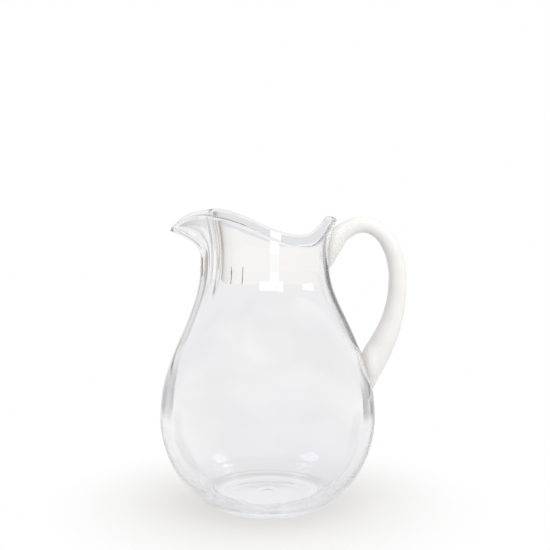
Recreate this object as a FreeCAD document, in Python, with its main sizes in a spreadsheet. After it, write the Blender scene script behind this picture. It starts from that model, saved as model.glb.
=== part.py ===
import FreeCAD, Part
import functools
import math
import os
import re
import Sketcher

# A clear glass jug with a wavy rim, a drawn pouring lip and an applied white glass handle.
# +Z is up, the lip points to -X and the handle to +X. The origin is the middle of the flat foot.

V = FreeCAD.Vector

# Driving sizes in millimetres and degrees: name, value, note
SIZES = [
    ("foot_radius", 36.5, "flat the jug stands on, before its edge is rounded"),
    ("foot_rise", 22, "angle of the wall above the floor where it leaves the foot"),
    ("foot_pull", 30, "how far the wall follows that angle"),
    ("foot_round", 3, "rounding of the foot's edge"),
    ("belly_radius", 79, "widest part of the body"),
    ("belly_height", 67.2, "height of the widest part"),
    ("belly_pull_low", 28.6, "fullness of the body below its widest part"),
    ("belly_pull_high", 24, "fullness of the body above its widest part"),
    ("shoulder_radius", 62.8, "radius where the body turns in to the neck"),
    ("shoulder_rise", 61, "height of that turn above the widest part"),
    ("shoulder_lean", 24, "lean of the wall at the shoulder, from upright"),
    ("shoulder_pull_low", 18, "length of the lean below the shoulder"),
    ("shoulder_pull_high", 26, "length of the lean above the shoulder"),
    ("waist_radius", 44.5, "narrowest part of the neck"),
    ("waist_rise", 56, "height of the narrowest part above the shoulder"),
    ("waist_pull", 22, "length of the upright wall below it"),
    ("wall_thickness", 2.6, "thickness of the blown wall"),
    ("base_thickness", 8, "glass in the middle of the foot"),
    ("floor_radius", 30, "flat part of the floor inside"),
    ("floor_pull", 28, "how softly the floor turns up into the wall"),
    ("lip_flare", 5, "how much the neck opens from the waist to the rim's peaks"),
    ("spout_out", 25.7, "tip of the spout from the waist's radius"),
    ("spout_tip_rise", 20, "height of the spout's tip above the waist"),
    ("spout_spread", 13, "half-angle over which the spout is drawn out"),
    ("spout_ease", 2.6, "power with which its underside sweeps out"),
    ("throat_bulge", 4.2, "how far the neck under the spout is pulled forward"),
    ("throat_spread", 28, "half-angle of that pull"),
    ("pinch_depth", 2.5, "dent on each side of the spout"),
    ("pinch_place", 30, "angle of the dents from the spout"),
    ("pinch_spread", 9, "half-angle of each dent"),
    ("rim_peak_inset", 3.5, "rim's high point in from the front of the waist"),
    ("rim_peak_rise", 33, "height of the rim there above the waist"),
    ("rim_dip_inset", 17.5, "rim's low point in from the back of the waist"),
    ("rim_dip_rise", 12.2, "height of the rim there above the waist"),
    ("back_lip_out", 5.9, "back lip from the waist's radius"),
    ("back_lip_rise", 28.2, "height of the back lip above the waist"),
    ("back_spread", 40, "half-angle over which the back lip opens"),
    ("rim_spare", 4, "height of the raw neck above the rim's peaks, before it is trimmed"),
    ("rim_round", 0.9, "fire-polished edge of the rim"),
    ("root_high_depth", 9.5, "how deep the handle's upper end starts behind the neck's surface"),
    ("root_high_drop", 5.2, "how far that end is below the waist"),
    ("root_high_lean", 39, "direction in which it leaves, from upright"),
    ("root_high_pull", 22, "length of that direction"),
    ("root_high_thickness", 22, "glass gathered at the upper end"),
    ("crown_out", 24.5, "top of the handle's centre line from the neck's surface"),
    ("crown_rise", 23.4, "height of the centre line there above the waist"),
    ("crown_pull_in", 10.5, "roundness of the handle's top towards the neck"),
    ("crown_pull_out", 16, "roundness of the handle's top towards the grip"),
    ("crown_thickness", 11.6, "handle's thickness at its top"),
    ("grip_out", 16.4, "centre line's furthest point from the belly's radius"),
    ("grip_drop", 16.7, "how far that point is below the waist"),
    ("grip_pull_high", 20, "straightness of the grip above it"),
    ("grip_pull_low", 29, "straightness of the grip below it"),
    ("grip_thickness", 12.9, "handle's thickness at the grip"),
    ("root_low_depth", 11, "how deep the handle's lower end lies behind the belly's radius"),
    ("root_low_rise", 17, "height of that end above the belly's widest part"),
    ("root_low_lean", 25, "direction in which it arrives, from upright"),
    ("root_low_pull", 38.7, "length of that direction"),
    ("root_low_thickness", 20.8, "glass spread over the body at the lower end"),
    ("root_tail_thickness", 13, "tapered tail that melts into the body"),
]

# Sizes that follow from those
FOLLOWING = [
    ("shoulder_height", "belly_height + shoulder_rise", "height of the shoulder"),
    ("waist_height", "shoulder_height + waist_rise", "height of the narrowest part"),
    ("spout_reach", "waist_radius + spout_out", "tip of the spout from the axis"),
    ("spout_tip_height", "waist_height + spout_tip_rise", "height of the spout's tip"),
    ("rim_peak_place", "waist_radius - rim_peak_inset", "rim's high point in front of the axis"),
    ("rim_peak_height", "waist_height + rim_peak_rise", "height of the rim there"),
    ("rim_dip_place", "waist_radius - rim_dip_inset", "rim's low point behind the axis"),
    ("rim_dip_height", "waist_height + rim_dip_rise", "height of the rim there"),
    ("back_lip_reach", "waist_radius + back_lip_out", "back lip from the axis"),
    ("back_lip_height", "waist_height + back_lip_rise", "height of the back lip"),
    ("root_high_height", "waist_height - root_high_drop", "height of the handle's upper end"),
    ("crown_height", "waist_height + crown_rise", "height of the handle's top"),
    ("grip_height", "waist_height - grip_drop", "height of the grip"),
    ("root_low_height", "belly_height + root_low_rise", "height of the handle's lower end"),
]

doc = FreeCAD.newDocument("GlassJug")
sheet = doc.addObject("Spreadsheet::Sheet", "Sizes")
ROWS = SIZES + [(alias, "=" + formula, note) for alias, formula, note in FOLLOWING]
for row, (alias, value, note) in enumerate(ROWS, 1):
    sheet.set(f"A{row}", alias)
    sheet.set(f"B{row}", str(value))
    sheet.set(f"C{row}", note)
    sheet.setAlias(f"B{row}", alias)
doc.recompute()
size = {alias: float(sheet.get(alias)) for alias, value, note in ROWS}


def tied(expression):
    """Every name of two or more words is a cell of the sheet."""
    return re.sub(r"[a-z]+(_[a-z]+)+", lambda found: "Sizes." + found.group(0), expression)


def number(expression):
    return float(sheet.evalExpression(tied(expression)))


# Sketches. Each point is tied to the sheet by its distances from the sketch's origin.

def new_sketch(body, name, role):
    sketch = body.newObject("Sketcher::SketchObject", name)
    support = next(feature for feature in body.Origin.OriginFeatures if feature.Role == role)
    sketch.AttachmentSupport = [(support, "")]
    sketch.MapMode = "FlatFace"
    return sketch


def bind(sketch, kind, name, expression, *ends):
    index = sketch.addConstraint(Sketcher.Constraint(kind, *ends, number(expression)))
    sketch.renameConstraint(index, name)
    sketch.setExpression(f"Constraints.{name}", tied(expression))


def pin(sketch, name, point, across, up):
    bind(sketch, "DistanceX", name + "_across", across, -1, 1, *point)
    bind(sketch, "DistanceY", name + "_up", up, -1, 1, *point)


def outline(sketch, start, *runs):
    """A closed chain: a run of one point is a straight edge, and one of three a cubic curve."""
    first = last = None
    for place, run in enumerate(runs):
        poles = [start, *run]
        points = [V(number(across), number(up), 0) for across, up in poles]
        if len(run) == 1:
            edge = sketch.addGeometry(Part.LineSegment(*points), False)
            pin(sketch, f"run{place}", (edge, 2), *run[0])
        else:
            curve = Part.BSplineCurve()
            curve.buildFromPolesMultsKnots(points, [4, 4], [0, 1], False, 3)
            edge = sketch.addGeometry(curve, False)
            sketch.exposeInternalGeometry(edge)
            for pole in (1, 2, 3):
                pin(sketch, f"run{place}pole{pole}", (edge + 1 + pole, 3), *poles[pole])
        if last is None:
            first = edge
        else:
            sketch.addConstraint(Sketcher.Constraint("Coincident", last, 2, edge, 1))
        last, start = edge, poles[-1]
    sketch.addConstraint(Sketcher.Constraint("Coincident", last, 2, first, 1))


def bezier(poles, share):
    rest = 1 - share
    weights = (rest ** 3, 3 * rest ** 2 * share, 3 * rest * share ** 2, share ** 3)
    return [sum(weight * number(pole[axis]) for weight, pole in zip(weights, poles)) for axis in (0, 1)]


# The body's outline, as (radius, height) poles

FOOT = ("foot_radius", "0")
SHOULDER = ("shoulder_radius", "shoulder_height")
WAIST = ("waist_radius", "waist_height")
FOOT_TO_BELLY = [
    ("foot_radius + foot_pull * cos(foot_rise)", "foot_pull * sin(foot_rise)"),
    ("belly_radius", "belly_height - belly_pull_low"),
    ("belly_radius", "belly_height"),
]
BELLY_TO_SHOULDER = [
    ("belly_radius", "belly_height + belly_pull_high"),
    ("shoulder_radius + shoulder_pull_low * sin(shoulder_lean)",
     "shoulder_height - shoulder_pull_low * cos(shoulder_lean)"),
    SHOULDER,
]
SHOULDER_TO_WAIST = [
    ("shoulder_radius - shoulder_pull_high * sin(shoulder_lean)",
     "shoulder_height + shoulder_pull_high * cos(shoulder_lean)"),
    ("waist_radius", "waist_height - waist_pull"),
    WAIST,
]

# The hollow's outline: the same curves a wall's thickness further in, over a thick floor

THINNED = "wall_thickness / cos(shoulder_lean)"
FLOOR = ("floor_radius", "base_thickness")
FLOOR_TO_BELLY = [
    ("floor_radius + floor_pull", "base_thickness"),
    ("belly_radius - wall_thickness", "belly_height - belly_pull_low"),
    ("belly_radius - wall_thickness", "belly_height"),
]
HOLLOW_TO_SHOULDER = [
    ("belly_radius - wall_thickness", "belly_height + belly_pull_high"),
    (f"shoulder_radius + shoulder_pull_low * sin(shoulder_lean) - {THINNED}",
     "shoulder_height - shoulder_pull_low * cos(shoulder_lean)"),
    (f"shoulder_radius - {THINNED}", "shoulder_height"),
]


# The neck: a round tube that is bulged, pinched and drawn out into the spout as it rises

def ease(share):
    share = min(max(share, 0), 1)
    return share * share * (3 - 2 * share)


def rise(height, low, high):
    return (height - size[low]) / (size[high] - size[low])


def bump(angle, spread):
    return math.exp(-(angle / size[spread]) ** 2)


# How sharply the spout's sweep turns level above its tip, and how far up
SHARPNESS = 10
LEVEL = 1.1


def levelled(share):
    """Follows share, then turns smoothly level a little above 1."""
    return -math.log(math.exp(-SHARPNESS * share) + math.exp(-SHARPNESS * LEVEL)) / SHARPNESS


@functools.lru_cache(None)
def tube_radius(height):
    if height >= size["waist_height"]:
        flared = rise(height, "waist_height", "rim_peak_height") ** 2
        return size["waist_radius"] + size["lip_flare"] * flared
    low, high = 0, 1
    for _ in range(20):
        middle = (low + high) / 2
        if bezier([SHOULDER, *SHOULDER_TO_WAIST], middle)[1] < height:
            low = middle
        else:
            high = middle
    return bezier([SHOULDER, *SHOULDER_TO_WAIST], low)[0]


@functools.lru_cache(None)
def neck_radius(height, angle):
    """Outer radius at an angle from the spout's direction."""
    above_waist = max(rise(height, "waist_height", "spout_tip_height"), 0)
    drawn = size["spout_reach"] - size["throat_bulge"] - tube_radius(size["spout_tip_height"])
    swept = levelled(above_waist ** size["spout_ease"]) / levelled(1)
    spout = drawn * swept * bump(angle, "spout_spread")
    above_shoulder = ease(rise(height, "shoulder_height", "waist_height"))
    throat = size["throat_bulge"] * above_shoulder * bump(angle, "throat_spread")
    dented = ease(rise(height, "shoulder_height", "spout_tip_height"))
    pinch = size["pinch_depth"] * dented * bump(angle - size["pinch_place"], "pinch_spread")
    opened = max(rise(height, "waist_height", "back_lip_height"), 0) ** 2
    opening = size["back_lip_reach"] - tube_radius(size["back_lip_height"])
    back = opening * opened * bump(180 - angle, "back_spread")
    return tube_radius(height) + spout + throat - pinch + back


# Steps from the ball's middle to its surface
BALL_STEPS = 6


def hollow_radius(height, angle):
    """Largest radius that leaves room for a ball as big as the wall everywhere around it."""
    wall = size["wall_thickness"]
    swing_limit = math.degrees(wall / size["waist_radius"])
    found = []
    for lift_step in range(-BALL_STEPS, BALL_STEPS + 1):
        lift = wall * lift_step / BALL_STEPS
        for swing_step in range(-BALL_STEPS, BALL_STEPS + 1):
            swing = swing_limit * swing_step / BALL_STEPS
            outer = neck_radius(round(height + lift, 3), round(abs(angle + swing), 3))
            sideways = outer * math.sin(math.radians(swing))
            room = wall ** 2 - lift ** 2 - sideways ** 2
            if room >= 0:
                found.append(outer * math.cos(math.radians(swing)) - math.sqrt(room))
    return min(found)


# Angles from the spout, closer together beside it
HALF_STEPS = 16
CROWDING = 1.6
FANNED = [180 * (step / HALF_STEPS) ** CROWDING for step in range(HALF_STEPS + 1)]

# Heights of the neck's sections, evenly spaced from the shoulder to just above the rim
RINGS = 18
HEIGHTS = [
    f"shoulder_height + (rim_peak_height + rim_spare - shoulder_height) * {place} / {RINGS}"
    for place in range(1, RINGS + 1)
]


def ring(body, name, height, radius_at):
    """A closed section of the neck at a height."""
    sketch = new_sketch(body, name, "XY_Plane")
    sketch.setExpression("AttachmentOffset.Base.z", tied(height))
    level = number(height)
    radii = [radius_at(level, angle) for angle in FANNED]
    turns = [180 - angle for angle in FANNED[::-1]] + [180 + angle for angle in FANNED[1:-1]]
    points = []
    for turn, radius in zip(turns, radii[::-1] + radii[1:-1]):
        points.append(V(radius * math.cos(math.radians(turn)), radius * math.sin(math.radians(turn)), 0))
    curve = Part.BSplineCurve()
    curve.interpolate(Points=points, PeriodicFlag=True, Parameters=[turn / 360 for turn in (*turns, 360)])
    sketch.addGeometry(curve, False)
    return sketch


def circle(body, name, radius):
    sketch = new_sketch(body, name, "XY_Plane")
    sketch.addGeometry(Part.Circle(V(0, 0, 0), V(0, 0, 1), number(radius)), False)
    sketch.addConstraint(Sketcher.Constraint("Coincident", 0, 3, -1, 1))
    bind(sketch, "Radius", "radius", radius, 0)
    return sketch


def loft(body, kind, name, sections):
    feature = body.newObject(kind, name)
    feature.Profile = (sections[0], [""])
    feature.Sections = [(section, [""]) for section in sections[1:]]
    return feature


def turned(body, kind, name, sketch):
    feature = body.newObject(kind, name)
    feature.Profile = (sketch, [""])
    feature.ReferenceAxis = (sketch, ["V_Axis"])
    feature.Angle = 360
    return feature


def tower(body, foot_radius, radius_at):
    """The neck's sections: a circle on the shoulder and the rings above it."""
    foot = circle(body, f"{body.Name}NeckFoot", foot_radius)
    foot.setExpression("AttachmentOffset.Base.z", tied("shoulder_height"))
    rings = []
    for place, height in enumerate(HEIGHTS):
        rings.append(ring(body, f"{body.Name}Neck{place}", height, radius_at))
    return [foot, *rings]


# Outer form of the vessel, still solid and untrimmed

form = doc.addObject("PartDesign::Body", "Form")
body_outline = new_sketch(form, "BodyOutline", "XZ_Plane")
outline(body_outline, ("0", "0"), [FOOT], FOOT_TO_BELLY, BELLY_TO_SHOULDER,
        [("0", "shoulder_height")], [("0", "0")])
turned(form, "PartDesign::Revolution", "Belly", body_outline)
loft(form, "PartDesign::AdditiveLoft", "Neck", tower(form, "shoulder_radius", neck_radius))
doc.recompute()


# Vessel: the form hollowed, trimmed along the rim and rounded at its edges

vessel = doc.addObject("PartDesign::Body", "Vessel")
vessel.Label = "vessel"
vessel.BaseFeature = form
hollow_outline = new_sketch(vessel, "HollowOutline", "XZ_Plane")
outline(hollow_outline, ("0", "base_thickness"), [FLOOR], FLOOR_TO_BELLY, HOLLOW_TO_SHOULDER,
        [("0", "shoulder_height")], [("0", "base_thickness")])
hollow = turned(vessel, "PartDesign::Groove", "Hollow", hollow_outline)
throat_foot = HOLLOW_TO_SHOULDER[-1][0]
throat = loft(vessel, "PartDesign::SubtractiveLoft", "Throat", tower(vessel, throat_foot, hollow_radius))

# The rim from the side: up from the spout's tip to a peak, down to a dip and up to the back lip
# The first curve runs a little past the tip, so that it ends in the air.
PAST = 1.05
TIP = (f"-(rim_peak_place + {PAST} * (spout_reach - rim_peak_place))",
       f"rim_peak_height - {PAST ** 3} * (rim_peak_height - spout_tip_height)")
PEAK = ("-rim_peak_place", "rim_peak_height")
DIP = ("rim_dip_place", "rim_dip_height")
BACK = ("back_lip_reach - 1.5 * wall_thickness", "back_lip_height")
TIP_TO_PEAK = [
    (f"(2 * {TIP[0]} - rim_peak_place) / 3", "rim_peak_height"),
    (f"({TIP[0]} - 2 * rim_peak_place) / 3", "rim_peak_height"),
    PEAK,
]
PEAK_TO_DIP = [
    ("(rim_dip_place - 2 * rim_peak_place) / 3", "rim_peak_height"),
    ("(2 * rim_dip_place - rim_peak_place) / 3", "rim_dip_height"),
    DIP,
]
DIP_TO_BACK = [
    (f"(2 * rim_dip_place + {BACK[0]}) / 3", "rim_dip_height"),
    (f"(rim_dip_place + 2 * ({BACK[0]})) / 3", "(2 * rim_dip_height + back_lip_height) / 3"),
    BACK,
]
OUTSIDE = "spout_reach + 3 * rim_spare"
TOP = "rim_peak_height + 3 * rim_spare"
rim_line = new_sketch(vessel, "RimLine", "XZ_Plane")
outline(rim_line, TIP, TIP_TO_PEAK, PEAK_TO_DIP, DIP_TO_BACK,
        [(OUTSIDE, "back_lip_height")], [(OUTSIDE, TOP)], [(f"-({OUTSIDE})", TOP)],
        [(f"-({OUTSIDE})", TIP[1])], [TIP])
trim = vessel.newObject("PartDesign::Pocket", "Rim")
trim.Profile = (rim_line, [""])
trim.Type = "ThroughAll"
trim.Midplane = True
doc.recompute()


def fillet(body, name, base, edges, radius):
    feature = body.newObject("PartDesign::Fillet", name)
    feature.Base = (base, edges)
    feature.setExpression("Radius", tied(radius))
    doc.recompute()
    return feature


def foot_edges(shape):
    """The circle round the foot's flat."""
    return [f"Edge{place}" for place, edge in enumerate(shape.Edges, 1) if edge.BoundBox.ZMax < 0.001]


def rim_edges(shape):
    """Edges that one face of the cut rim shares with the wall, and not with the next face of the rim."""
    cut = [face for face in shape.Faces if face.BoundBox.ZMin > size["waist_height"]]
    edges = []
    for place, edge in enumerate(shape.Edges, 1):
        uses = sum(edge.isSame(other) for face in cut for other in face.Edges)
        if uses == 1:
            edges.append(f"Edge{place}")
    return edges


foot_edge = fillet(vessel, "FootEdge", trim, foot_edges(trim.Shape), "foot_round")
rim_edge = fillet(vessel, "RimEdge", foot_edge, rim_edges(foot_edge.Shape), "rim_round")


# Handle: a rod drawn along three curves, thick where it was pressed on, then cut to the vessel's surface

CROWN = ("waist_radius + crown_out", "crown_height")
GRIP = ("belly_radius + grip_out", "grip_height")
ROOT_HIGH = ("waist_radius - root_high_depth", "root_high_height")
ROOT_LOW = ("belly_radius - root_low_depth", "root_low_height")
ROOT_TO_CROWN = [
    ROOT_HIGH,
    (f"{ROOT_HIGH[0]} + root_high_pull * sin(root_high_lean)",
     "root_high_height + root_high_pull * cos(root_high_lean)"),
    (f"{CROWN[0]} - crown_pull_in", "crown_height"),
    CROWN,
]
CROWN_TO_GRIP = [
    CROWN,
    (f"{CROWN[0]} + crown_pull_out", "crown_height"),
    (GRIP[0], "grip_height + grip_pull_high"),
    GRIP,
]
GRIP_TO_ROOT = [
    GRIP,
    (GRIP[0], "grip_height - grip_pull_low"),
    (f"{ROOT_LOW[0]} + root_low_pull * sin(root_low_lean)",
     "root_low_height + root_low_pull * cos(root_low_lean)"),
    ROOT_LOW,
]


def between(low, high, share):
    return f"{low} + ({high} - {low}) * {share}"


# Sections of the rod: (curve, share along it, thickness)
ROD = [
    (ROOT_TO_CROWN, 0, "root_high_thickness"),
    (ROOT_TO_CROWN, 0.35, between("crown_thickness", "root_high_thickness", 0.5)),
    (ROOT_TO_CROWN, 0.7, between("crown_thickness", "root_high_thickness", 0.13)),
    (CROWN_TO_GRIP, 0, "crown_thickness"),
    (CROWN_TO_GRIP, 0.35, between("crown_thickness", "grip_thickness", 0.35)),
    (CROWN_TO_GRIP, 0.7, between("crown_thickness", "grip_thickness", 0.7)),
    (GRIP_TO_ROOT, 0, "grip_thickness"),
    (GRIP_TO_ROOT, 0.25, between("grip_thickness", "root_low_thickness", 0.19)),
    (GRIP_TO_ROOT, 0.5, between("grip_thickness", "root_low_thickness", 0.54)),
    (GRIP_TO_ROOT, 0.75, "root_low_thickness"),
    (GRIP_TO_ROOT, 1, "root_tail_thickness"),
]

rod = doc.addObject("PartDesign::Body", "Rod")
rod_sections = []
for place, (curve, share, thickness) in enumerate(ROD):
    here = bezier(curve, share)
    before, after = bezier(curve, share - 0.01), bezier(curve, share + 0.01)
    heading = math.degrees(math.atan2(after[0] - before[0], after[1] - before[1]))
    section = circle(rod, f"RodSection{place}", f"({thickness}) / 2")
    turn = FreeCAD.Rotation(V(0, 1, 0), heading)
    section.AttachmentOffset = FreeCAD.Placement(V(here[0], 0, here[1]), turn)
    rod_sections.append(section)
loft(rod, "PartDesign::AdditiveLoft", "RodLoft", rod_sections)

handle = doc.addObject("Part::Cut", "Handle")
handle.Label = "handle"
handle.Base = rod
handle.Tool = form
doc.recompute()


# Every object is sound, each cut took glass away, and each piece is one whole solid

for thing in doc.Objects:
    if "Invalid" in thing.State or "Error" in thing.State:
        raise RuntimeError(f"{thing.Name} did not build: {thing.getStatusString()}")
for before, after in ((form, hollow), (hollow, throat), (throat, trim), (trim, rim_edge), (rod, handle)):
    if not after.Shape.Volume < before.Shape.Volume:
        raise RuntimeError(f"{after.Name} took nothing away")
for piece in (vessel, handle):
    if piece.Shape.isNull() or not piece.Shape.isValid() or len(piece.Shape.Solids) != 1:
        raise RuntimeError(f"{piece.Label} is not one valid solid")

os.makedirs("parts", exist_ok=True)
for piece in (vessel, handle):
    piece.Shape.exportStep(f"parts/{piece.Label}.step")
    print(f"{piece.Label}: {piece.Shape.Volume / 1000:.1f} cm3")
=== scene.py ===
import math

import bpy
from mathutils import Matrix, Vector


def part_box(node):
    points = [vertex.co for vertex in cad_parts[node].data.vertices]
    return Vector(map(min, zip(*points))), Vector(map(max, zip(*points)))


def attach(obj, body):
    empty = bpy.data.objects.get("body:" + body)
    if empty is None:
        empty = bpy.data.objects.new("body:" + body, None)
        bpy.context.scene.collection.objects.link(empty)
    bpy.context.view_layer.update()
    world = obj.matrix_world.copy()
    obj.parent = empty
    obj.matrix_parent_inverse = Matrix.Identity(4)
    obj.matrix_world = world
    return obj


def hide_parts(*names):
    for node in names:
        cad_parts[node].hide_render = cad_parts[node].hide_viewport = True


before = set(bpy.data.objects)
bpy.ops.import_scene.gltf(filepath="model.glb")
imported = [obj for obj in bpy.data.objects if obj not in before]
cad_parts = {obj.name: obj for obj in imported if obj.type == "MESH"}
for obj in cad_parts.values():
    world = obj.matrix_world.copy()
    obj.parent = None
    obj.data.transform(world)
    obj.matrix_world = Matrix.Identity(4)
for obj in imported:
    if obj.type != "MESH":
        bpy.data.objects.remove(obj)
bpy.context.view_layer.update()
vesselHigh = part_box("vessel")[1]
bpy.ops.object.select_all(action="DESELECT")
print("frame loaded")

# lengths are in metres and angles in degrees, here and below
# the camera stands in front, higher than the jug, and looks a little down at it
cameraSetup = {
    "turn": 4.0,          # how far the spout is turned towards the camera
    "distance": 0.935,
    "height": 0.3022,
    "lookDown": 7.96,
    "lookRight": 0.33,
    "lens": 85,
}
viewTurn = math.radians(cameraSetup["turn"])


def facing(right, away, height):
    # a place given as right, away and height from where the camera stands
    return (
        right * math.cos(viewTurn) + away * math.sin(viewTurn),
        away * math.cos(viewTurn) - right * math.sin(viewTurn),
        height,
    )


def addCamera():
    place = facing(0, -cameraSetup["distance"], cameraSetup["height"])
    tilt = math.radians(90 - cameraSetup["lookDown"])
    heading = -viewTurn - math.radians(cameraSetup["lookRight"])
    bpy.ops.object.camera_add(location=place, rotation=(tilt, 0, heading))
    camera = bpy.context.object
    camera.name = "camera"
    camera.data.lens = cameraSetup["lens"]
    bpy.context.scene.camera = camera


addCamera()


def finishPiece(piece, name, smoothAngle=80):
    piece.name = name
    piece.data.name = name
    bpy.ops.object.select_all(action="DESELECT")
    piece.select_set(True)
    bpy.context.view_layer.objects.active = piece
    bpy.ops.object.transform_apply(location=True, rotation=True, scale=True)
    bpy.ops.object.shade_smooth_by_angle(angle=math.radians(smoothAngle))
    piece.select_set(False)


def mergeAndTurnOut(gap=0.00002):
    # in edit mode: closes seams and poles, then points every face outwards
    bpy.ops.mesh.select_all(action="SELECT")
    bpy.ops.mesh.remove_doubles(threshold=gap)
    bpy.ops.mesh.normals_make_consistent(inside=False)
    bpy.ops.object.mode_set(mode="OBJECT")


def bezierPoint(poles, share):
    rest = 1 - share
    weights = (rest ** 3, 3 * rest ** 2 * share, 3 * rest * share ** 2, share ** 3)
    return Vector([sum(w * p[axis] for w, p in zip(weights, poles)) for axis in (0, 1)])


def curveRun(poles, steps):
    return [bezierPoint(poles, step / steps) for step in range(1, steps + 1)]


def pulled(point, distance, direction):
    # the end of a curve's handle; the direction is 0 outwards and 90 straight up
    angle = math.radians(direction)
    return (point[0] + distance * math.cos(angle), point[1] + distance * math.sin(angle))


glass = {
    "footRadius": 0.0365,
    "footRise": 22,        # how steeply the wall leaves the table
    "footPull": 0.030,
    # how the foot's edge is rounded: out from its radius, and height
    "footCorner": ((-0.00135, 0), (-0.0006, 0.00022), (0.0008, 0.0007)),
    "footCornerEnd": 0.0018,
    "bellyRadius": vesselHigh.y,
    "bellyHeight": 0.0672,
    "bellyPullLow": 0.0286,
    "bellyPullHigh": 0.024,
    "shoulderRadius": 0.0628,
    "shoulderHeight": 0.1282,
    "shoulderLean": 24,
    "shoulderPullLow": 0.018,
    "shoulderPullHigh": 0.026,
    "waistRadius": 0.0445,
    "waistHeight": 0.1842,
    "waistPull": 0.022,
    "wall": 0.0026,
    "base": 0.008,
    "floorRadius": 0.030,
    "floorPull": 0.028,
    "kick": 0.0022,        # hollow under the foot
    "footWidth": 0.0024,   # the ring round it that stands on the table
    "kickRows": (5, 20),   # first and last row of the hollow, outside the scar
    "scar": (0.0045, 0.0004),   # where the rod was broken off: radius, depth
    "scarShape": ((0, 1), (0.4, 0.6), (0.8, -0.7), (1, -1)),   # shares of the two
    # faint rings that the blower's tools left in the floor: radius, width, height
    "rings": ((0.0405, 0.0010, 0.0010), (0.0520, 0.0012, 0.0004)),
    "flare": 0.005,        # how far the neck opens upwards
    "spoutReach": 0.0702,  # from the axis to the lip's tip, and how high the tip is
    "spoutTip": 0.2042,
    "spoutSpread": 13,
    "spoutEase": 2.6,
    "throatBulge": 0.0042,
    "throatSpread": 23,
    "pinchDepth": 0.0025,  # the fold on each side of the throat
    "pinchPlace": 25,
    "pinchSpread": 8,
    "peakPlace": 0.041,    # the rim from the side: places out from the axis, and heights
    "peakHeight": vesselHigh.z,
    "dipPlace": 0.027,
    "dipHeight": 0.1964,
    "backReach": 0.0504,
    "backHeight": 0.2124,
    "backSpread": 40,
    "lipWidth": 0.0039,    # the level end of the back lip
    "rimRound": 0.0012,
    "nearby": (0.0006, 0.6),   # how far up and round a slope is measured
    "rows": {"foot": 34, "belly": 26, "shoulder": 22, "neck": 18, "rim": 8, "inside": 70, "floor": 16},
    "columns": 240,
}


def ease(share):
    share = min(max(share, 0), 1)
    return share * share * (3 - 2 * share)


def rise(height, low, high):
    return (height - low) / (high - low)


def bump(offset, spread):
    return math.exp(-(offset / spread) ** 2)


def levelled(share, limit=1.1, sharpness=10):
    # follows the share, and levels off smoothly at the limit
    return -math.log(math.exp(-sharpness * share) + math.exp(-sharpness * limit)) / sharpness


foot = (glass["footRadius"], 0)
belly = (glass["bellyRadius"], glass["bellyHeight"])
shoulder = (glass["shoulderRadius"], glass["shoulderHeight"])
waist = (glass["waistRadius"], glass["waistHeight"])
footToBelly = (
    foot,
    pulled(foot, glass["footPull"], glass["footRise"]),
    pulled(belly, glass["bellyPullLow"], -90),
    belly,
)
bellyToShoulder = (
    belly,
    pulled(belly, glass["bellyPullHigh"], 90),
    pulled(shoulder, glass["shoulderPullLow"], glass["shoulderLean"] - 90),
    shoulder,
)
shoulderToWaist = (
    shoulder,
    pulled(shoulder, glass["shoulderPullHigh"], glass["shoulderLean"] + 90),
    pulled(waist, glass["waistPull"], -90),
    waist,
)
tubeSteps = 200
tubeTable = [Vector(shoulder), *curveRun(shoulderToWaist, tubeSteps)]


def tubeRadius(height):
    # the round neck before it is drawn out
    if height >= waist[1]:
        return waist[0] + glass["flare"] * rise(height, waist[1], glass["peakHeight"]) ** 2
    for before, after in zip(tubeTable, tubeTable[1:]):
        if height <= after.y:
            share = (height - before.y) / (after.y - before.y)
            return before.x + (after.x - before.x) * share
    return waist[0]


def turnOf(point):
    return math.degrees(math.atan2(point.y, point.x)) % 360


def neckRadius(height, turn):
    # the drawn-out neck; the spout is at a turn of 180 and the handle at 0
    angle = abs(turn % 360 - 180)
    tip = glass["spoutTip"]
    drawn = glass["spoutReach"] - glass["throatBulge"] - tubeRadius(tip)
    up = max(rise(height, waist[1], tip), 0)
    spout = drawn * levelled(up ** glass["spoutEase"]) / levelled(1) * bump(angle, glass["spoutSpread"])
    throat = glass["throatBulge"] * ease(rise(height, shoulder[1], waist[1]))
    throat *= bump(angle, glass["throatSpread"])
    pinch = glass["pinchDepth"] * ease(rise(height, shoulder[1], tip))
    pinch *= bump(angle - glass["pinchPlace"], glass["pinchSpread"])
    opening = glass["backReach"] - tubeRadius(glass["backHeight"])
    back = opening * max(rise(height, waist[1], glass["backHeight"]), 0) ** 2
    back *= bump(180 - angle, glass["backSpread"])
    return tubeRadius(height) + spout + throat - pinch + back


def rimHeight(x):
    # the rim from the side: up from the spout to the peak, down to the dip, up to the back lip
    peak, dip = -glass["peakPlace"], glass["dipPlace"]
    peakHeight, dipHeight = glass["peakHeight"], glass["dipHeight"]
    if x <= peak:
        share = (x - peak) / (-glass["spoutReach"] - peak)
        return peakHeight - (peakHeight - glass["spoutTip"]) * share ** 3
    if x <= dip:
        return peakHeight + (dipHeight - peakHeight) * ease(rise(x, peak, dip))
    lipPlace = glass["backReach"] - glass["lipWidth"]
    return dipHeight + (glass["backHeight"] - dipHeight) * min(rise(x, dip, lipPlace), 1) ** 2


def outerPoint(height, turn):
    radius = neckRadius(height, turn)
    return Vector((radius * math.cos(math.radians(turn)), radius * math.sin(math.radians(turn)), height))


rimCache = {}


def rimAt(turn):
    # the rim's height there, found by closing in on it; one entry is kept for each column
    key = round(turn, 3)
    if key not in rimCache:
        height = glass["dipHeight"]
        for _ in range(60):
            height += (rimHeight(outerPoint(height, turn).x) - glass["rimRound"] - height) * 0.5
        rimCache[key] = height
    return rimCache[key]


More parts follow.
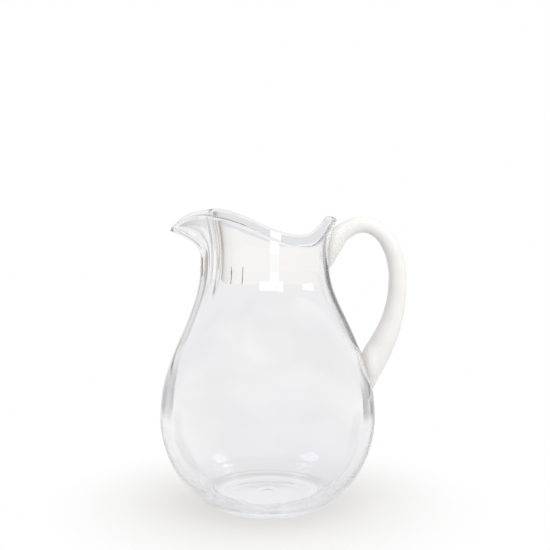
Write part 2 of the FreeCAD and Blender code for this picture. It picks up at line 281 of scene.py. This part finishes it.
def shapedPoint(point):
    # moves a point of the round profile to its place on the drawn-out neck
    if point.z <= shoulder[1] + 0.00001:
        return point
    turn = turnOf(point)
    top = glass["peakHeight"]
    level = min(point.z, top)
    height = level
    if level > waist[1]:
        height = waist[1] + (level - waist[1]) * rise(rimAt(turn), waist[1], top)
    upStep, turnStep = glass["nearby"]
    upward = (outerPoint(height + upStep, turn) - outerPoint(height - upStep, turn)).normalized()
    around = (outerPoint(height, turn + turnStep) - outerPoint(height, turn - turnStep)).normalized()
    outward = around.cross(upward).normalized()
    depth = tubeRadius(level) - math.hypot(point.x, point.y)
    return outerPoint(height, turn) - outward * depth + upward * max(point.z - top, 0)


def vesselProfile():
    # half a section: under the foot, up the outside, over the rim, down the inside, across the floor
    rows, wall, kick = glass["rows"], glass["wall"], glass["kick"]
    scar, scarDepth = glass["scar"]
    points = [Vector((scar * out, kick + scarDepth * up)) for out, up in glass["scarShape"]]
    first, last = glass["kickRows"]
    for row in range(first, last + 1):
        out = row / last
        points.append(Vector(((foot[0] - glass["footWidth"]) * out, kick * (1 - out ** 2) ** 2)))
    points += [Vector((foot[0] + out, up)) for out, up in glass["footCorner"]]
    points += [p for p in curveRun(footToBelly, rows["foot"]) if p.x > foot[0] + glass["footCornerEnd"]]
    points += curveRun(bellyToShoulder, rows["belly"])
    upNeck = curveRun(shoulderToWaist, rows["shoulder"])
    for row in range(1, rows["neck"] + 1):
        height = waist[1] + (glass["peakHeight"] - waist[1]) * row / rows["neck"]
        upNeck.append(Vector((tubeRadius(height), height)))
    points += upNeck
    for step in range(1, rows["rim"]):
        swing = math.pi * step / rows["rim"]
        out = upNeck[-1].x - wall / 2 + wall / 2 * math.cos(swing)
        points.append(Vector((out, upNeck[-1].y + glass["rimRound"] * math.sin(swing))))
    points += [Vector((p.x - wall, p.y)) for p in reversed(upNeck)]
    thinned = wall / math.cos(math.radians(glass["shoulderLean"]))
    shifts = (wall, wall, thinned, thinned)
    innerBelly = [(x - shift, height) for (x, height), shift in zip(bellyToShoulder, shifts)]
    points += [Vector(innerBelly[-1]), *curveRun(innerBelly[::-1], rows["belly"])]
    floorEdge = (glass["floorRadius"], glass["base"])
    bellyToFloor = (
        innerBelly[0],
        pulled(innerBelly[0], glass["bellyPullLow"], -90),
        pulled(floorEdge, glass["floorPull"], 0),
        floorEdge,
    )
    inside = curveRun(bellyToFloor, rows["inside"])
    for row in range(rows["floor"] - 1, -1, -1):
        inside.append(Vector((floorEdge[0] * row / rows["floor"], floorEdge[1])))
    for point in inside:
        for ringRadius, ringWidth, ringHeight in glass["rings"]:
            point.y += ringHeight * bump(point.x - ringRadius, ringWidth)
    return points + inside


def makeVessel():
    points = vesselProfile()
    bpy.ops.mesh.primitive_plane_add(size=0.001, location=(0, 0, 0))
    piece = bpy.context.object
    bpy.ops.object.mode_set(mode="EDIT")
    bpy.ops.mesh.merge(type="CENTER")
    bpy.ops.transform.translate(value=(points[0].x, 0, points[0].y))
    for before, after in zip(points, points[1:]):
        step = after - before
        bpy.ops.mesh.extrude_region_move(TRANSFORM_OT_translate={"value": (step.x, 0, step.y)})
    bpy.ops.mesh.select_all(action="SELECT")
    bpy.ops.mesh.spin(steps=glass["columns"], angle=2 * math.pi, center=(0, 0, 0), axis=(0, 0, 1))
    mergeAndTurnOut()
    for vertex in piece.data.vertices:
        vertex.co = shapedPoint(vertex.co.copy())
    finishPiece(piece, "glassVessel")
    return piece


vessel = makeVessel()
print("vessel made", len(vessel.data.polygons))

handle = {
    # along the middle of the rod: out from the axis, height, thickness
    "line": (
        (0.0446, 0.1752, 0.0012),
        (0.0448, 0.1800, 0.0070),
        (0.0458, 0.1880, 0.0130),
        (0.0492, 0.1962, 0.0148),
        (0.0572, 0.2036, 0.0126),
        (0.0690, 0.2076, 0.0116),
        (0.0805, 0.2037, 0.0118),
        (0.0893, 0.1930, 0.0122),
        (0.0942, 0.1790, 0.0127),
        (0.0954, 0.1640, 0.0131),
        (0.0940, 0.1480, 0.0143),
        (0.0902, 0.1330, 0.0162),
        (0.0842, 0.1190, 0.0186),
        (0.0782, 0.1070, 0.0196),
        (0.0756, 0.0975, 0.0160),
        (0.0764, 0.0900, 0.0090),
        (0.0772, 0.0845, 0.0012),
    ),
    "stepsAlong": 14,      # between two points of the line
    "stepsAround": 14,
    "spread": 0.28,        # how much wider it is where it was pressed on
    "spreadNear": 0.012,
    "sunk": 0.0003,
}


def bodyRadius(height):
    poles = bellyToShoulder if height > belly[1] else footToBelly
    least, most = 0, 1
    for _ in range(24):
        share = (least + most) / 2
        if bezierPoint(poles, share).y < height:
            least = share
        else:
            most = share
    return bezierPoint(poles, least).x


def surfaceRadius(point):
    return bodyRadius(point.z) if point.z < shoulder[1] else neckRadius(point.z, turnOf(point))


def makeHandle():
    line = handle["line"]
    bpy.ops.curve.primitive_bezier_curve_add(location=(0, 0, 0))
    piece = bpy.context.object
    curve = piece.data
    curve.dimensions = "3D"
    curve.resolution_u = handle["stepsAlong"]
    curve.bevel_depth = 0.01   # each point scales this to its own thickness
    curve.bevel_resolution = handle["stepsAround"]
    curve.use_fill_caps = True
    curve.use_radius = True
    points = curve.splines[0].bezier_points
    points.add(len(line) - 2)
    for point, (out, height, thickness) in zip(points, line):
        point.co = (out, 0, height)
        point.handle_left_type = point.handle_right_type = "AUTO"
        point.radius = thickness / 2 / curve.bevel_depth
    curve.splines[0].radius_interpolation = "CARDINAL"
    bpy.ops.object.convert(target="MESH")
    piece = bpy.context.object
    bpy.ops.object.mode_set(mode="EDIT")
    mergeAndTurnOut()
    for vertex in piece.data.vertices:
        away = math.hypot(vertex.co.x, vertex.co.y) - surfaceRadius(vertex.co)
        vertex.co.y *= 1 + handle["spread"] * ease(1 - away / handle["spreadNear"])
        radius = math.hypot(vertex.co.x, vertex.co.y)
        surface = surfaceRadius(vertex.co) - handle["sunk"]
        if radius < surface:
            vertex.co.x *= surface / radius
            vertex.co.y *= surface / radius
    finishPiece(piece, "glassHandle")
    return piece


glassHandle = makeHandle()
print("handle made", len(glassHandle.data.polygons))


def newMaterial(name):
    material = bpy.data.materials.new(name)
    material.use_nodes = True
    material.node_tree.nodes.clear()
    return material, material.node_tree.nodes, material.node_tree.links


def addMath(nodes, links, operation, *values):
    # a Math or Vector Math node whose inputs are sockets or plain numbers
    kind = "ShaderNodeVectorMath" if operation == "LENGTH" else "ShaderNodeMath"
    node = nodes.new(kind)
    node.operation = operation
    for socket, value in zip(node.inputs, values):
        if isinstance(value, bpy.types.NodeSocket):
            links.new(value, socket)
        else:
            socket.default_value = value
    return node


def addRange(nodes, links, value, start, end, smooth=True):
    # 0 at the start and 1 at the end, and level beyond them
    node = nodes.new("ShaderNodeMapRange")
    node.interpolation_type = "SMOOTHSTEP" if smooth else "LINEAR"
    node.inputs["From Min"].default_value = start
    node.inputs["From Max"].default_value = end
    links.new(value, node.inputs["Value"])
    return node


def addMix(nodes, links, factor, first, second):
    node = nodes.new("ShaderNodeMixShader")
    links.new(factor, node.inputs["Fac"])
    links.new(first, node.inputs[1])
    links.new(second, node.inputs[2])
    return node.outputs["Shader"]


blown = {
    "waveDetail": 1.5,
    "streakDetail": 3,
    "streakLength": (1, 1, 0.16),   # the streaks are drawn out upwards
    "patchDetail": 4,
}


def glassWaves():
    # slow waves and fine upright streaks that the blowing leaves, with cloudy patches beside them
    group = bpy.data.node_groups.new("glassWaves", "ShaderNodeTree")
    group.interface.new_socket("Position", in_out="INPUT", socket_type="NodeSocketVector")
    for name in ("Wave Scale", "Streak Scale", "Streak Share", "Patch Scale"):
        group.interface.new_socket(name, in_out="INPUT", socket_type="NodeSocketFloat")
    for name in ("Height", "Patches"):
        group.interface.new_socket(name, in_out="OUTPUT", socket_type="NodeSocketFloat")
    nodes, links = group.nodes, group.links
    inputs = nodes.new("NodeGroupInput")
    outputs = nodes.new("NodeGroupOutput")
    wave = nodes.new("ShaderNodeTexNoise")
    wave.inputs["Detail"].default_value = blown["waveDetail"]
    drawn = nodes.new("ShaderNodeMapping")
    drawn.inputs["Scale"].default_value = blown["streakLength"]
    streak = nodes.new("ShaderNodeTexNoise")
    streak.inputs["Detail"].default_value = blown["streakDetail"]
    share = nodes.new("ShaderNodeMath")
    share.operation = "MULTIPLY_ADD"
    patches = nodes.new("ShaderNodeTexNoise")
    patches.inputs["Detail"].default_value = blown["patchDetail"]
    links.new(inputs.outputs["Position"], wave.inputs["Vector"])
    links.new(inputs.outputs["Wave Scale"], wave.inputs["Scale"])
    links.new(inputs.outputs["Position"], drawn.inputs["Vector"])
    links.new(drawn.outputs["Vector"], streak.inputs["Vector"])
    links.new(inputs.outputs["Streak Scale"], streak.inputs["Scale"])
    links.new(streak.outputs["Fac"], share.inputs[0])
    links.new(inputs.outputs["Streak Share"], share.inputs[1])
    links.new(wave.outputs["Fac"], share.inputs[2])
    links.new(inputs.outputs["Position"], patches.inputs["Vector"])
    links.new(inputs.outputs["Patch Scale"], patches.inputs["Scale"])
    links.new(share.outputs["Value"], outputs.inputs["Height"])
    links.new(patches.outputs["Fac"], outputs.inputs["Patches"])
    return group


waves = glassWaves()


def addWaves(nodes, links, values):
    place = nodes.new("ShaderNodeTexCoord")
    node = nodes.new("ShaderNodeGroup")
    node.node_tree = waves
    for name, value in values.items():
        node.inputs[name].default_value = value
    links.new(place.outputs["Object"], node.inputs["Position"])
    return node, place


def twoTones(nodes, links, factor, first, second, low=0.35, high=0.65):
    ramp = nodes.new("ShaderNodeValToRGB")
    ramp.color_ramp.elements[0].position = low
    ramp.color_ramp.elements[0].color = first
    ramp.color_ramp.elements[1].position = high
    ramp.color_ramp.elements[1].color = second
    links.new(factor, ramp.inputs["Fac"])
    return ramp.outputs["Color"]


clear = {
    "tint": (0.985, 0.990, 0.992, 1),
    "cloudTint": (0.972, 0.975, 0.986, 1),
    "seeThrough": (0.95, 0.944, 0.944, 1),   # what a shadow or a soft bounce keeps of its light
    "ior": 1.5,
    "waves": {"Wave Scale": 22, "Streak Scale": 160, "Streak Share": 0.012, "Patch Scale": 14},
    "waveDepth": 0.00035,
    "footScale": 190,      # pits and ripples round the foot
    "footDetail": 2,
    "footDepth": 0.0006,
    "footTop": (0.026, 0.003),   # they fade in between these heights
    "footOut": (0.042, 0.052),   # and between these distances from the axis
}


def clearGlass():
    material, nodes, links = newMaterial("clearGlass")
    output = nodes.new("ShaderNodeOutputMaterial")
    shader = nodes.new("ShaderNodeBsdfPrincipled")
    shader.inputs["Roughness"].default_value = 0.0
    shader.inputs["IOR"].default_value = clear["ior"]
    shader.inputs["Transmission Weight"].default_value = 1.0
    wave, place = addWaves(nodes, links, clear["waves"])
    tint = twoTones(nodes, links, wave.outputs["Patches"], clear["tint"], clear["cloudTint"])
    links.new(tint, shader.inputs["Base Color"])
    slow = nodes.new("ShaderNodeBump")
    slow.inputs["Distance"].default_value = clear["waveDepth"]
    links.new(wave.outputs["Height"], slow.inputs["Height"])
    split = nodes.new("ShaderNodeSeparateXYZ")
    links.new(place.outputs["Object"], split.inputs["Vector"])
    flat = nodes.new("ShaderNodeVectorMath")
    flat.operation = "MULTIPLY"
    flat.inputs[1].default_value = (1, 1, 0)
    links.new(place.outputs["Object"], flat.inputs[0])
    out = addMath(nodes, links, "LENGTH", flat.outputs["Vector"])
    low = addRange(nodes, links, split.outputs["Z"], *clear["footTop"])
    outside = addRange(nodes, links, out.outputs["Value"], *clear["footOut"], smooth=False)
    where = addMath(nodes, links, "MULTIPLY", low.outputs["Result"], outside.outputs["Result"])
    ripple = nodes.new("ShaderNodeTexNoise")
    ripple.inputs["Scale"].default_value = clear["footScale"]
    ripple.inputs["Detail"].default_value = clear["footDetail"]
    links.new(place.outputs["Object"], ripple.inputs["Vector"])
    footHeight = addMath(nodes, links, "MULTIPLY", where.outputs["Value"], ripple.outputs["Fac"])
    footBump = nodes.new("ShaderNodeBump")
    footBump.inputs["Distance"].default_value = clear["footDepth"]
    links.new(footHeight.outputs["Value"], footBump.inputs["Height"])
    links.new(slow.outputs["Normal"], footBump.inputs["Normal"])
    links.new(footBump.outputs["Normal"], shader.inputs["Normal"])
    path = nodes.new("ShaderNodeLightPath")
    seeThrough = nodes.new("ShaderNodeBsdfTransparent")
    seeThrough.inputs["Color"].default_value = clear["seeThrough"]
    soft = addMath(nodes, links, "MAXIMUM", path.outputs["Is Shadow Ray"], path.outputs["Is Diffuse Ray"])
    mixed = addMix(nodes, links, soft.outputs["Value"], shader.outputs["BSDF"], seeThrough.outputs["BSDF"])
    links.new(mixed, output.inputs["Surface"])
    return material


opal = {
    "milk": (0.955, 0.946, 0.930, 1),
    "cloud": (0.925, 0.913, 0.892, 1),
    "ior": 1.5,
    "glowShare": 0.4,      # light that goes in and comes out again
    "glowColour": (1, 0.97, 0.94),
    "glowDepth": 0.006,
    "roughness": (0.07, 0.20),
    "roughnessOver": (0.3, 0.7),
    "waves": {"Wave Scale": 60, "Streak Scale": 240, "Streak Share": 0.03, "Patch Scale": 70},
    "waveDepth": 0.0005,
}


def opalGlass():
    material, nodes, links = newMaterial("opalGlass")
    output = nodes.new("ShaderNodeOutputMaterial")
    shader = nodes.new("ShaderNodeBsdfPrincipled")
    shader.inputs["IOR"].default_value = opal["ior"]
    shader.inputs["Subsurface Weight"].default_value = opal["glowShare"]
    shader.inputs["Subsurface Radius"].default_value = opal["glowColour"]
    shader.inputs["Subsurface Scale"].default_value = opal["glowDepth"]
    wave, _ = addWaves(nodes, links, opal["waves"])
    colour = twoTones(nodes, links, wave.outputs["Patches"], opal["milk"], opal["cloud"])
    links.new(colour, shader.inputs["Base Color"])
    polish = addRange(nodes, links, wave.outputs["Patches"], *opal["roughnessOver"], smooth=False)
    polish.inputs["To Min"].default_value, polish.inputs["To Max"].default_value = opal["roughness"]
    links.new(polish.outputs["Result"], shader.inputs["Roughness"])
    surface = nodes.new("ShaderNodeBump")
    surface.inputs["Distance"].default_value = opal["waveDepth"]
    links.new(wave.outputs["Height"], surface.inputs["Height"])
    links.new(surface.outputs["Normal"], shader.inputs["Normal"])
    links.new(shader.outputs["BSDF"], output.inputs["Surface"])
    return material


vessel.data.materials.append(clearGlass())
glassHandle.data.materials.append(opalGlass())

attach(vessel, "root")
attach(glassHandle, "root")
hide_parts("vessel")
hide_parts("handle")
print("materials set")

studio = {
    "wallAway": 1.12,
    "spread": 4,           # how far the floor and the wall reach
    # what the glass sees of the table and the wall
    "table": (0.955, 0.945, 0.942, 1),
    "tableDark": (0.885, 0.875, 0.88, 1),
    "tableFar": (0.90, 0.895, 0.90, 1),
    "wall": (0.79, 0.79, 0.81, 1),
    # the table's clouds, and its shade round the foot as distance and brightness
    "cloudScale": 5.0,
    "cloudDetail": 2.0,
    "cloudStretch": (1.6, 0.5, 1),
    "cloudOver": (0.42, 0.62),
    "shade": ((0.0, 1.0), (0.038, 1.0), (0.0395, 0.87), (0.047, 0.75), (0.06, 0.91), (0.13, 1.0)),
    "shadeReach": 0.2,
    # what the camera sees of them: a pale backdrop that turns into plain light away from the jug
    "backdrop": (0.93, 0.93, 0.93, 1),
    "far": 0.995,
    "near": (0.04, 0.17),
    # colours of the cards
    "cream": (0.965, 0.945, 0.922, 1),
    "dark": (0.10, 0.095, 0.09, 1),
    "brown": (0.42, 0.37, 0.33, 1),
    "pale": (1.01, 1.0, 0.985, 1),
    "white": (1.07, 1.07, 1.07, 1),
    "grey": (0.38, 0.38, 0.39, 1),
    "edge": (0.22, 0.22, 0.23, 1),
    "window": (3.0, 3.0, 3.4, 1),
    # the sky as the glass sees it, as the camera sees it, and as it lights the white handle
    "sky": (0.74, 0.74, 0.74, 1),
    "plainSky": (0.995, 0.995, 0.995, 1),
    "dimSky": (0.63, 0.625, 0.615, 1),
    "bounces": {"all": 128, "through": 64, "mirrored": 96},
}


def newGlow(name, colour):
    material, nodes, links = newMaterial(name)
    output = nodes.new("ShaderNodeOutputMaterial")
    light = nodes.new("ShaderNodeEmission")
    light.inputs["Color"].default_value = colour
    return material, nodes, links, output, light


def plainGlow(name, colour):
    material, _, links, output, light = newGlow(name, colour)
    links.new(light.outputs["Emission"], output.inputs["Surface"])
    return material


def addTableShade(nodes, links, light):
    # clouds over the table's glow, and a soft ring of shade round the foot
    place = nodes.new("ShaderNodeTexCoord")
    stretch = nodes.new("ShaderNodeMapping")
    stretch.inputs["Scale"].default_value = studio["cloudStretch"]
    links.new(place.outputs["Object"], stretch.inputs["Vector"])
    cloud = nodes.new("ShaderNodeTexNoise")
    cloud.inputs["Scale"].default_value = studio["cloudScale"]
    cloud.inputs["Detail"].default_value = studio["cloudDetail"]
    links.new(stretch.outputs["Vector"], cloud.inputs["Vector"])
    dark, pale = studio["tableDark"], studio["table"]
    tones = twoTones(nodes, links, cloud.outputs["Fac"], dark, pale, *studio["cloudOver"])
    middle = addMath(nodes, links, "LENGTH", place.outputs["Object"])
    reach = addMath(nodes, links, "DIVIDE", middle.outputs["Value"], studio["shadeReach"])
    ramp = nodes.new("ShaderNodeValToRGB")
    ramp.color_ramp.interpolation = "EASE"
    elements = ramp.color_ramp.elements
    for index, (distance, level) in enumerate(studio["shade"]):
        position = distance / studio["shadeReach"]
        element = elements[index] if index < 2 else elements.new(position)
        element.position = position
        element.color = (level, level, level, 1)
    links.new(reach.outputs["Value"], ramp.inputs["Fac"])
    darken = nodes.new("ShaderNodeMix")
    darken.data_type = "RGBA"
    darken.blend_type = "MULTIPLY"
    darken.inputs["Factor"].default_value = 1
    links.new(tones, darken.inputs[6])
    links.new(ramp.outputs["Color"], darken.inputs[7])
    links.new(darken.outputs[2], light.inputs["Color"])


def backdropGlow(name, colour, shaded=False):
    # the glass sees a glow, and the camera a plain backdrop that takes the soft shadow
    material, nodes, links, output, light = newGlow(name, colour)
    if shaded:
        addTableShade(nodes, links, light)
    plain = nodes.new("ShaderNodeBsdfDiffuse")
    plain.inputs["Color"].default_value = studio["backdrop"]
    farGlow = nodes.new("ShaderNodeEmission")
    farGlow.inputs["Color"].default_value = (1, 1, 1, 1)
    farGlow.inputs["Strength"].default_value = studio["far"]
    place = nodes.new("ShaderNodeTexCoord")
    length = addMath(nodes, links, "LENGTH", place.outputs["Object"])
    fade = addRange(nodes, links, length.outputs["Value"], *studio["near"])
    both = addMix(nodes, links, fade.outputs["Result"], plain.outputs["BSDF"], farGlow.outputs["Emission"])
    path = nodes.new("ShaderNodeLightPath")
    seen = addMix(nodes, links, path.outputs["Is Camera Ray"], light.outputs["Emission"], both)
    links.new(seen, output.inputs["Surface"])
    return material


def softGlow(name, colour, fadeIn, fadeOut, across=(), straightOnly=False):
    # a glow that fades in at one height and out at another, and sideways if asked;
    # straightOnly keeps it out of reflections
    material, nodes, links, output, light = newGlow(name, colour)
    clearPart = nodes.new("ShaderNodeBsdfTransparent")
    place = nodes.new("ShaderNodeTexCoord")
    split = nodes.new("ShaderNodeSeparateXYZ")
    links.new(place.outputs["Object"], split.inputs["Vector"])
    ends = [("Z", fadeIn), ("Z", fadeOut)] + ([("X", across)] if across else [])
    shares = [addRange(nodes, links, split.outputs[axis], *span).outputs["Result"] for axis, span in ends]
    if straightOnly:
        path = nodes.new("ShaderNodeLightPath")
        straight = addRange(nodes, links, path.outputs["Glossy Depth"], 1, 0, smooth=False)
        shares.append(straight.outputs["Result"])
    share = shares[0]
    for other in shares[1:]:
        share = addMath(nodes, links, "MULTIPLY", share, other).outputs["Value"]
    mixed = addMix(nodes, links, share, clearPart.outputs["BSDF"], light.outputs["Emission"])
    links.new(mixed, output.inputs["Surface"])
    return material


def innerGlow(name, colour):
    # seen only through the glass, so that it shines in the far wall and not on the near one
    material, nodes, links, output, light = newGlow(name, colour)
    clearPart = nodes.new("ShaderNodeBsdfTransparent")
    path = nodes.new("ShaderNodeLightPath")
    through = addRange(nodes, links, path.outputs["Transmission Depth"], 0, 1, smooth=False)
    share = addMath(nodes, links, "SUBTRACT", through.outputs["Result"], path.outputs["Diffuse Depth"])
    share.use_clamp = True
    mixed = addMix(nodes, links, share.outputs["Value"], clearPart.outputs["BSDF"], light.outputs["Emission"])
    links.new(mixed, output.inputs["Surface"])
    return material


def card(name, corners, material, seen=False):
    # a flat sheet; each corner is right, away and height from where the camera stands
    mesh = bpy.data.meshes.new(name)
    mesh.from_pydata([facing(*corner) for corner in corners], [], [tuple(range(len(corners)))])
    piece = bpy.data.objects.new(name, mesh)
    bpy.context.scene.collection.objects.link(piece)
    mesh.materials.append(material)
    piece.visible_camera = piece.visible_shadow = piece.visible_glossy = seen
    piece.visible_diffuse = False
    return piece


def upright(name, material, away, line):
    return card(name, [(right, away, height) for right, height in line], material)


def boxLine(left, right, low, high):
    return ((left, low), (right, low), (right, high), (left, high))


spread, wallAway = studio["spread"], studio["wallAway"]
floorLine = ((-spread, -spread), (spread, -spread), (spread, wallAway), (-spread, wallAway))
card("floor", [(*place, 0) for place in floorLine], backdropGlow("floor", studio["table"], True), True)
wallLine = boxLine(-spread, spread, 0, spread)
wallGlow = backdropGlow("wall", studio["wall"])
card("wall", [(right, wallAway, height) for right, height in wallLine], wallGlow, True)

# upright cards that only the glass sees; a box is left, right, low and high, an outline is right and height
# of each corner, and a card with soft ends fades in between two heights and out between two more
cards = (
    {"name": "creamSheet", "colour": "cream", "away": 1.05, "outline": (
        (-0.45, 0.0), (0.45, 0.0), (0.45, 0.071), (0.031, 0.070), (0.002, 0.077),
        (-0.025, 0.085), (-0.078, 0.096), (-0.21, 0.104), (-0.45, 0.104))},
    {"name": "brownSheet", "colour": "brown", "away": 1.0, "box": (-0.45, -0.06, 0.0, 0.16),
     "fadeIn": (-0.02, -0.01), "fadeOut": (0.16, 0.14), "fadeAcross": (-0.07, -0.19)},
    {"name": "paleStripe", "colour": "pale", "away": 0.99, "box": (0.0050, 0.0245, 0.0350, 0.0655)},
    {"name": "whiteStripe", "colour": "white", "away": 0.99, "box": (0.0050, 0.0245, 0.0060, 0.0350)},
    {"name": "whiteStripe", "colour": "white", "away": 0.99, "box": (0.0050, 0.0245, 0.0655, 0.125)},
    {"name": "tick", "colour": "dark", "away": 0.99, "box": (-0.057, -0.055, 0.010, 0.045)},
    {"name": "tick", "colour": "dark", "away": 0.99, "box": (-0.089, -0.087, 0.010, 0.045)},
    {"name": "tableRise", "colour": "tableFar", "away": 0.985, "outline": (
        (-0.45, -0.02), (0.45, -0.02), (0.45, 0.075), (0.30, 0.055), (0.18, 0.0325), (0.10, 0.0205),
        (0.05, 0.0155), (0.0, 0.0138), (-0.05, 0.0155), (-0.10, 0.0205), (-0.18, 0.038),
        (-0.30, 0.080), (-0.45, 0.11))},
    {"name": "whiteStep", "colour": "white", "away": 0.98, "box": (-0.0171, 0.0331, 0.0058, 0.0201)},
    # a white card that glows and is seen only through the glass, where it shows as a small bright patch:
    # painted light
    {"name": "whitePatchGlow", "colour": "white", "away": 0.98, "outline": (
        (0.080, 0.0115), (0.124, 0.018), (0.124, 0.026), (0.080, 0.0195))},
    {"name": "darkRight", "colour": "dark", "away": 0.5, "box": (0.20, 0.60, 0.0, 0.30),
     "fadeIn": (-0.1, -0.05), "fadeOut": (0.30, 0.22)},
    {"name": "brownLeft", "colour": "brown", "away": 0.97, "box": (-0.50, -0.27, 0.0, 0.12),
     "fadeIn": (-0.02, 0.0), "fadeOut": (0.12, 0.08)},
    {"name": "darkLeft", "colour": "dark", "away": 0.97, "box": (-0.75, -0.50, 0.0, 0.07),
     "fadeIn": (0.0, 0.02), "fadeOut": (0.07, 0.05)},
    {"name": "flagRight", "colour": "edge", "away": 0.2, "box": (0.105, 0.24, 0.0, 0.06),
     "fadeIn": (0.0, 0.02), "fadeOut": (0.06, 0.03)},
    {"name": "flagLeft", "colour": "grey", "away": 0.2, "box": (-0.24, -0.105, 0.0, 0.10),
     "fadeIn": (0.0, 0.035), "fadeOut": (0.10, 0.05)},
)
for item in cards:
    name, away, colour = item["name"], item["away"], studio[item["colour"]]
    line = item["outline"] if "outline" in item else boxLine(*item["box"])
    if "fadeIn" in item:
        across = [facing(right, away, 0)[0] for right in item.get("fadeAcross", ())]
        material = softGlow(name, colour, item["fadeIn"], item["fadeOut"], across)
    else:
        material = plainGlow(name, colour)
    upright(name, material, away, line)
print("cards set")


def addSky():
    world = bpy.data.worlds.new("world")
    bpy.context.scene.world = world
    world.use_nodes = True
    nodes, links = world.node_tree.nodes, world.node_tree.links
    path = nodes.new("ShaderNodeLightPath")
    sky = nodes["Background"]
    sky.inputs["Color"].default_value = studio["sky"]
    mixed = sky.outputs["Background"]
    for ray, colour in (("Is Camera Ray", "plainSky"), ("Is Diffuse Ray", "dimSky")):
        other = nodes.new("ShaderNodeBackground")
        other.inputs["Color"].default_value = studio[colour]
        mixed = addMix(nodes, links, path.outputs[ray], mixed, other.outputs["Background"])
    links.new(mixed, nodes["World Output"].inputs["Surface"])


addSky()

lamps = {
    "aim": (0, 0, 0.1),
    "topLight": {"place": (0.1, -0.5, 1.6), "size": 1.2, "power": 8.0},
    "sideLight": {"place": (0.95, -1.0, 0.5), "size": 0.8, "power": 5.8},
}


def softLight(name):
    place = Vector(facing(*lamps[name]["place"]))
    bpy.ops.object.light_add(type="AREA", location=place)
    lamp = bpy.context.object
    lamp.name = name
    lamp.data.size = lamps[name]["size"]
    lamp.data.energy = lamps[name]["power"]
    lamp.rotation_euler = (Vector(lamps["aim"]) - place).to_track_quat("-Z", "Y").to_euler()
    lamp.visible_glossy = False
    lamp.visible_transmission = False


softLight("topLight")
softLight("sideLight")

# two pale windows overhead, seen only through the glass: left, right, nearest, farthest
windows = {"height": 1.3, "places": ((-1.1, -0.6, 0.0, 0.45), (0.7, 1.25, 0.2, 0.65))}
windowGlow = innerGlow("windowGlow", studio["window"])
for place in windows["places"]:
    card("window", [(right, away, windows["height"]) for right, away in boxLine(*place)], windowGlow)

# dark edges for the views from the left, the back and the right
edges = {
    "quarters": (90, 180, 270),
    "box": (0.145, 0.40, 0.0, 0.26),
    "away": 0.5,
    "fadeIn": (0.0, 0.06),
    "fadeOut": (0.26, 0.15),
}
edgeDark = softGlow("edgeDark", studio["edge"], edges["fadeIn"], edges["fadeOut"], straightOnly=True)
near, far, low, high = edges["box"]
for quarter in edges["quarters"]:
    for side in (-1, 1):
        piece = upright("edge", edgeDark, edges["away"], boxLine(near * side, far * side, low, high))
        piece.data.transform(Matrix.Rotation(math.radians(quarter) + viewTurn, 4, "Z"))

scene = bpy.context.scene
scene.view_settings.view_transform = "Standard"
scene.cycles.max_bounces = studio["bounces"]["all"]
scene.cycles.transmission_bounces = studio["bounces"]["through"]
scene.cycles.glossy_bounces = studio["bounces"]["mirrored"]
print("studio set")
